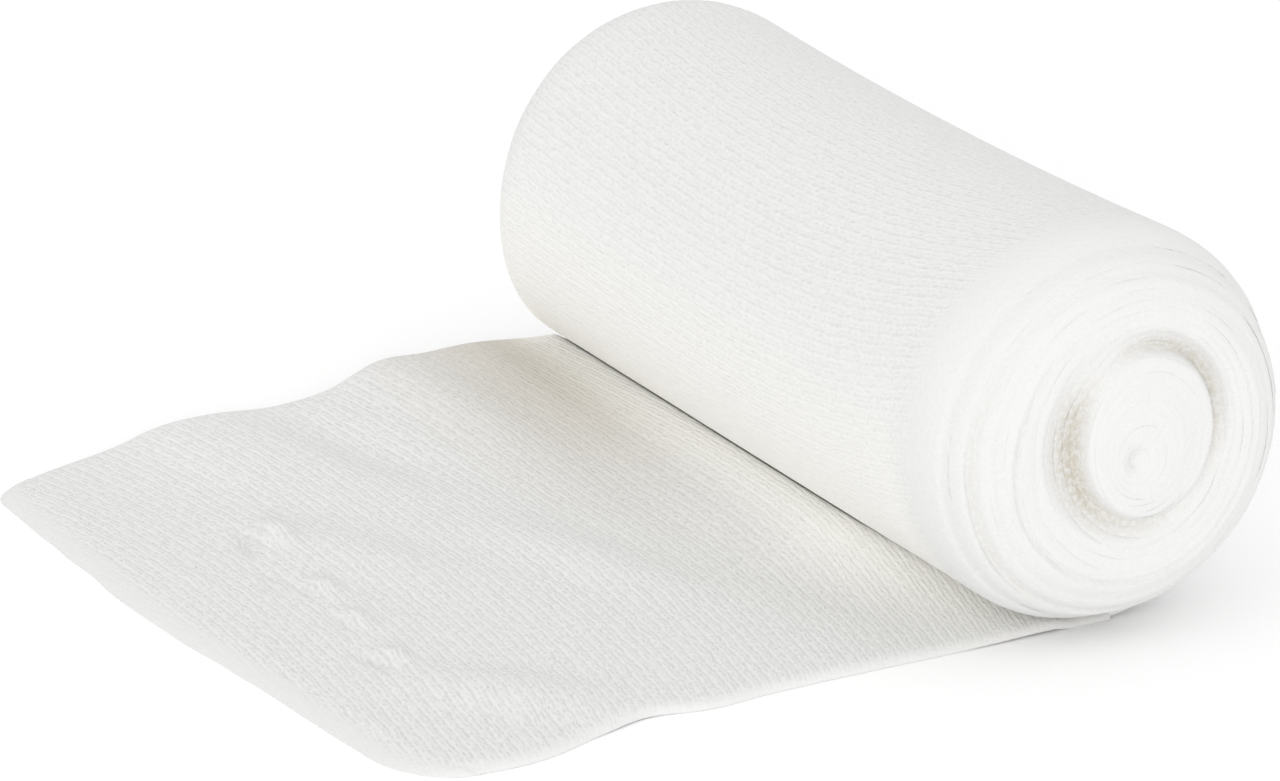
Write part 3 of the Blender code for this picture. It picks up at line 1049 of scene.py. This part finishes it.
class BandageClothSizes(bpy.types.PropertyGroup):
    """Sizes and colours of the cloth"""

    thickness: FloatProperty(
        name="Cloth thickness", description="Thickness of one layer between its ribs",
        default=0.001, unit="LENGTH", precision=5,
    )
    hem_thickness: FloatProperty(
        name="Hem thickness", description="Thickness of the cloth where it is turned over",
        default=0.00075, unit="LENGTH", precision=5,
    )
    hem_width: FloatProperty(
        name="Hem width", description="Width of the turned and flattened band at the end",
        default=0.0044, unit="LENGTH", precision=5,
    )
    rib_pitch: FloatProperty(
        name="Rib pitch", description="Distance from one rib of the crepe to the next",
        default=0.00125, unit="LENGTH", precision=5,
    )
    rib_height: FloatProperty(
        name="Rib height", description="Height of a rib over the cloth's middle, in the mesh",
        default=0.00003, unit="LENGTH", precision=5,
    )
    rows_per_rib: IntProperty(
        name="Rows in a rib", description="Rows of the mesh across one rib", default=4, min=4,
    )
    bump_height: FloatProperty(
        name="Dash height", description="Height of the yarn's dashes along a rib",
        default=0.000038, unit="LENGTH", precision=6,
    )
    fluff_height: FloatProperty(
        name="Fluff height", description="Height of the crinkle and fluff of the yarn",
        default=0.00015, unit="LENGTH", precision=5,
    )
    colour: FloatVectorProperty(
        name="Yarn colour", description="Colour of the undyed cotton", subtype="COLOR",
        default=linear("E6E6E5"),
    )
    # Painted shade: the valley between two ribs is painted darker
    painted_valley_shade_colour: FloatVectorProperty(
        name="Valley colour", description="Colour between two ribs", subtype="COLOR",
        default=linear("DADAD9"),
    )
    plain_colour: FloatVectorProperty(
        name="Plain colour", description="Colour where no ribs show", subtype="COLOR",
        default=linear("E2E2E1"),
    )
    # Painted shade: the roll's shade on the loose end
    painted_roll_shade_colour: FloatVectorProperty(
        name="Trough colour", description="Colour in the trough before the roll", subtype="COLOR",
        default=linear("C9C3B8"),
    )
    # Painted light: the bright warm fold under the roll's side
    painted_fold_light_colour: FloatVectorProperty(
        name="Fold colour", description="Colour in the fold under the roll's side", subtype="COLOR",
        default=linear("F9F8F4"),
    )
    # Painted shade: deep in the groove of the domed end
    painted_groove_shade_colour: FloatVectorProperty(
        name="Groove colour", description="Colour deep in the groove of the end", subtype="COLOR",
        default=linear("CCC7BC"),
    )


class BandageStageSizes(bpy.types.PropertyGroup):
    """Floor and light of the stage"""

    floor_side: FloatProperty(
        name="Floor side", description="Side of the square floor", default=6.0, unit="LENGTH",
    )
    floor_colour: FloatVectorProperty(
        name="Floor colour", description="Colour of the white card", subtype="COLOR",
        default=linear("FEFEFE"),
    )
    sky: FloatProperty(
        name="Even light", description="Strength of the light from all around", default=1.0,
    )
    key_power: FloatProperty(
        name="Main lamp", description="Power of the large soft lamp", default=39.0, unit="POWER",
    )
    key_side: FloatProperty(
        name="Lamp side", description="Side of the large soft lamp", default=1.3, unit="LENGTH",
    )
    key_place: FloatVectorProperty(
        name="Lamp place", description="Place of the large soft lamp", subtype="TRANSLATION",
        default=(-2.12, -3.3, 0.84),
    )


class BANDAGE_OT_wind_cloth(bpy.types.Operator):
    """Winds the crepe strip from its hem to the middle of the roll"""

    bl_idname = "bandage.wind_cloth"
    bl_label = "Wind the cloth"

    def execute(self, context):
        sizes = context.scene.bandage_cloth
        mesh, length = build_cloth(sizes)
        cloth = cloth_object("bandage_cloth", mesh)
        cloth.data.materials.append(woven_cotton_crepe(sizes))
        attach(cloth, "root")
        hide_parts(CLOTH_NODE)
        return {"FINISHED"}


class BANDAGE_OT_set_stage(bpy.types.Operator):
    """Sets the floor, the soft light and the camera"""

    bl_idname = "bandage.set_stage"
    bl_label = "Set the stage"

    def execute(self, context):
        sizes = context.scene.bandage_stage
        self.lay_floor(sizes)
        self.hang_lights(context, sizes)
        self.place_camera(context)
        context.scene.view_settings.view_transform = "Standard"
        return {"FINISHED"}

    def lay_floor(self, sizes):
        """Lays a white card under the roll."""
        bpy.ops.object.select_all(action="DESELECT")
        bpy.ops.mesh.primitive_plane_add(size=sizes.floor_side)
        floor = bpy.context.active_object
        floor.name = "floor"
        floor.data.materials.append(matt_studio_card(sizes.floor_colour))

    def hang_lights(self, context, sizes):
        """Sets the even light from all around and the large soft lamp."""
        world = bpy.data.worlds.new("even_white_light")
        world.use_nodes = True
        background = world.node_tree.nodes["Background"]
        background.inputs["Color"].default_value = (1.0, 1.0, 1.0, 1.0)
        background.inputs["Strength"].default_value = sizes.sky
        context.scene.world = world
        lamp = bpy.data.lights.new("main_soft_lamp", "AREA")
        lamp.shape = "SQUARE"
        lamp.size = sizes.key_side
        lamp.energy = sizes.key_power
        key = bpy.data.objects.new("main_soft_lamp", lamp)
        context.scene.collection.objects.link(key)
        key.location = sizes.key_place
        towards = CAMERA_TARGET - key.location
        key.rotation_euler = towards.to_track_quat("-Z", "Y").to_euler()

    def place_camera(self, context):
        """Places the camera at the photograph's angle."""
        sideways, level = math.sin(CAMERA_AZIMUTH), math.cos(CAMERA_ELEVATION)
        back = Vector((
            sideways * level, -math.cos(CAMERA_AZIMUTH) * level, math.sin(CAMERA_ELEVATION),
        ))
        right = Vector((math.cos(CAMERA_AZIMUTH), math.sin(CAMERA_AZIMUTH), 0.0))
        up = back.cross(right)
        lens = bpy.data.cameras.new("camera")
        lens.lens = CAMERA_FOCAL
        lens.sensor_width = CAMERA_SENSOR
        lens.clip_end = 20.0
        camera = bpy.data.objects.new("camera", lens)
        context.scene.collection.objects.link(camera)
        camera.rotation_euler = Matrix((right, up, back)).transposed().to_euler()
        camera.location = (
            CAMERA_TARGET + back * CAMERA_DISTANCE + right * CAMERA_SIDE + up * CAMERA_DROP
        )
        context.scene.camera = camera


class BANDAGE_PT_looks(bpy.types.Panel):
    """Lists the sizes and the two steps in the sidebar"""

    bl_idname = "BANDAGE_PT_looks"
    bl_label = "Bandage roll"
    bl_space_type = "VIEW_3D"
    bl_region_type = "UI"
    bl_category = "Bandage"

    def draw(self, context):
        for group in (context.scene.bandage_cloth, context.scene.bandage_stage):
            for name in group.__annotations__:
                self.layout.prop(group, name)
        self.layout.operator(BANDAGE_OT_wind_cloth.bl_idname)
        self.layout.operator(BANDAGE_OT_set_stage.bl_idname)


CLASSES = (
    BandageClothSizes,
    BandageStageSizes,
    BANDAGE_OT_wind_cloth,
    BANDAGE_OT_set_stage,
    BANDAGE_PT_looks,
)


def register():
    for listed in CLASSES:
        bpy.utils.register_class(listed)
    bpy.types.Scene.bandage_cloth = PointerProperty(type=BandageClothSizes)
    bpy.types.Scene.bandage_stage = PointerProperty(type=BandageStageSizes)


def unregister():
    del bpy.types.Scene.bandage_stage
    del bpy.types.Scene.bandage_cloth
    for listed in reversed(CLASSES):
        bpy.utils.unregister_class(listed)


def main():
    """Winds the cloth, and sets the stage."""
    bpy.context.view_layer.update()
    register()
    bpy.ops.bandage.wind_cloth()
    bpy.ops.bandage.set_stage()


if __name__ == "__main__":
    main()
